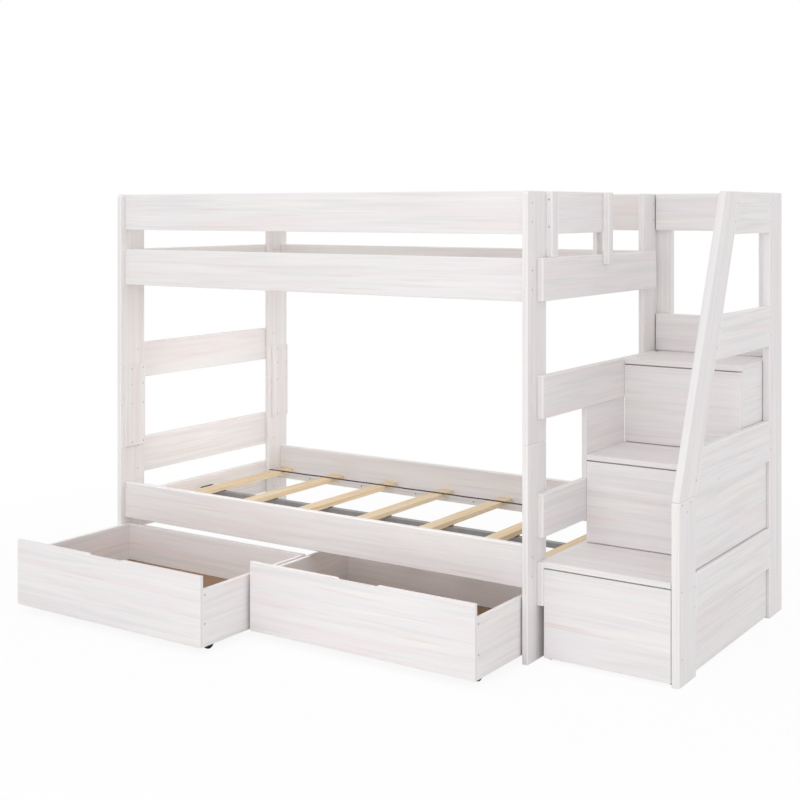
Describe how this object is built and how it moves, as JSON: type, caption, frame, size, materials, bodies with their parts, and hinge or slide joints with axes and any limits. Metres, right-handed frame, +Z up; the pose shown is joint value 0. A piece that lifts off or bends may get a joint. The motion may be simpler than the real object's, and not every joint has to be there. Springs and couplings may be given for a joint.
{
  "type": "bunk bed with storage stairs",
  "caption": "Bunk bed over two rolling drawers, with stairs of lidded boxes, a leaning handrail and a back wall at its right-hand end.",
  "frame": {"origin": "on the floor under the middle of the whole object's box, with the drawers pulled out as at rest", "axes": "+X along the bed towards the stairs, +Y from the drawer side to the back, +Z up"},
  "size_m": [2.5134, 1.701, 1.626],
  "materials": {
    "whitewash": "whitewashed pine boards, thin white stain that lets faint pink-grey grain through, satin, softened edges",
    "pine": "natural pine slats, planed, unfinished",
    "hardboard": "brown hardboard, smooth side up",
    "steel": "zinc-plated steel, grey and slightly dull",
    "dark_steel": "dark grey powder coat",
    "wheel_rubber": "black castor wheels",
    "webbing": "woven black webbing",
    "zinc_screw": "dull zinc-plated screw heads",
    "black_plastic": "black moulded plastic"
  },
  "bodies": {
    "root": {"beam_brackets": "dark_steel", "beam_pads": "black_plastic", "centre_beams": "steel", "end_boards_left": "whitewash", "end_boards_right": "whitewash", "filler_panel": "whitewash", "frame_screws": "zinc_screw", "guard_battens": "whitewash", "guard_board_right": "whitewash", "guard_rail_front": "whitewash", "guard_rail_rear": "whitewash", "handrail": "whitewash", "lid_hinge_lugs": "steel", "lower_side_rail_front": "whitewash", "lower_side_rail_rear": "whitewash", "plate_screws": "zinc_screw", "post_front_left_lower": "whitewash", "post_front_left_upper": "whitewash", "post_front_right_lower": "whitewash", "post_front_right_upper": "whitewash", "post_rear_left_lower": "whitewash", "post_rear_left_upper": "whitewash", "post_rear_right_lower": "whitewash", "post_rear_right_upper": "whitewash", "side_boards": "whitewash", "side_connectors": "zinc_screw", "side_front_post": "whitewash", "side_panels": "whitewash", "side_rear_post": "whitewash", "slat_cleats": "whitewash", "slat_screws": "zinc_screw", "slat_straps": "webbing", "slats_lower": "pine", "slats_upper": "pine", "splice_plates": "whitewash", "stair_back_wall": "whitewash", "stair_box_1": "whitewash", "stair_box_2": "whitewash", "stair_box_3": "whitewash", "stair_glides": "black_plastic", "stair_riser_1": "whitewash", "stair_riser_2": "whitewash", "stair_riser_3": "whitewash", "upper_side_rail_front": "whitewash", "upper_side_rail_rear": "whitewash"},
    "drawer_left": {"castor_forks_left": "dark_steel", "drawer_bottom_left": "hardboard", "drawer_box_left": "whitewash", "drawer_front_left": "whitewash"},
    "drawer_right": {"castor_forks_right": "dark_steel", "drawer_bottom_right": "hardboard", "drawer_box_right": "whitewash", "drawer_front_right": "whitewash"},
    "wheels_left_front": {"wheels_left_front": "wheel_rubber"},
    "wheels_left_rear": {"wheels_left_rear": "wheel_rubber"},
    "wheels_right_front": {"wheels_right_front": "wheel_rubber"},
    "wheels_right_rear": {"wheels_right_rear": "wheel_rubber"},
    "stair_lid_1": {"stair_lid_1": "whitewash"},
    "stair_lid_2": {"stair_lid_2": "whitewash"},
    "stair_lid_3": {"stair_lid_3": "whitewash"}
  },
  "joints": [
    {"name": "drawer_left_roll", "type": "slide", "parent": "root", "child": "drawer_left", "axis": [0, 1, 0], "range_m": [-0.094, 0.561]},
    {"name": "wheels_left_front_turn", "type": "hinge", "parent": "drawer_left", "child": "wheels_left_front", "pos_m": [-0.72825, -0.7655, 0.025], "axis": [1, 0, 0], "range_deg": [-1286.7, 216.4]},
    {"name": "wheels_left_rear_turn", "type": "hinge", "parent": "drawer_left", "child": "wheels_left_rear", "pos_m": [-0.72825, -0.3355, 0.025], "axis": [1, 0, 0], "range_deg": [-1286.7, 216.4]},
    {"name": "drawer_right_roll", "type": "slide", "parent": "root", "child": "drawer_right", "axis": [0, 1, 0], "range_m": [-0.345, 0.31]},
    {"name": "wheels_right_front_turn", "type": "hinge", "parent": "drawer_right", "child": "wheels_right_front", "pos_m": [0.23475, -0.5145, 0.025], "axis": [1, 0, 0], "range_deg": [-711.5, 791.7]},
    {"name": "wheels_right_rear_turn", "type": "hinge", "parent": "drawer_right", "child": "wheels_right_rear", "pos_m": [0.23475, -0.0845, 0.025], "axis": [1, 0, 0], "range_deg": [-711.5, 791.7]},
    {"name": "stair_lid_1_lift", "type": "hinge", "parent": "root", "child": "stair_lid_1", "pos_m": [0.9955, 0.095, 0.3325], "axis": [-1, 0, 0], "range_deg": [0, 90]},
    {"name": "stair_lid_2_lift", "type": "hinge", "parent": "root", "child": "stair_lid_2", "pos_m": [0.9955, 0.43, 0.6535], "axis": [-1, 0, 0], "range_deg": [0, 90]},
    {"name": "stair_lid_3_lift", "type": "hinge", "parent": "root", "child": "stair_lid_3", "pos_m": [0.9955, 0.784, 0.9745], "axis": [-1, 0, 0], "range_deg": [0, 90]}
  ],
  "couplings": [
    {"joint": "wheels_left_front_turn", "follows": "drawer_left_roll", "rad_per_m": -40},
    {"joint": "wheels_left_rear_turn", "follows": "drawer_left_roll", "rad_per_m": -40},
    {"joint": "wheels_right_front_turn", "follows": "drawer_right_roll", "rad_per_m": -40},
    {"joint": "wheels_right_rear_turn", "follows": "drawer_right_roll", "rad_per_m": -40}
  ]
}
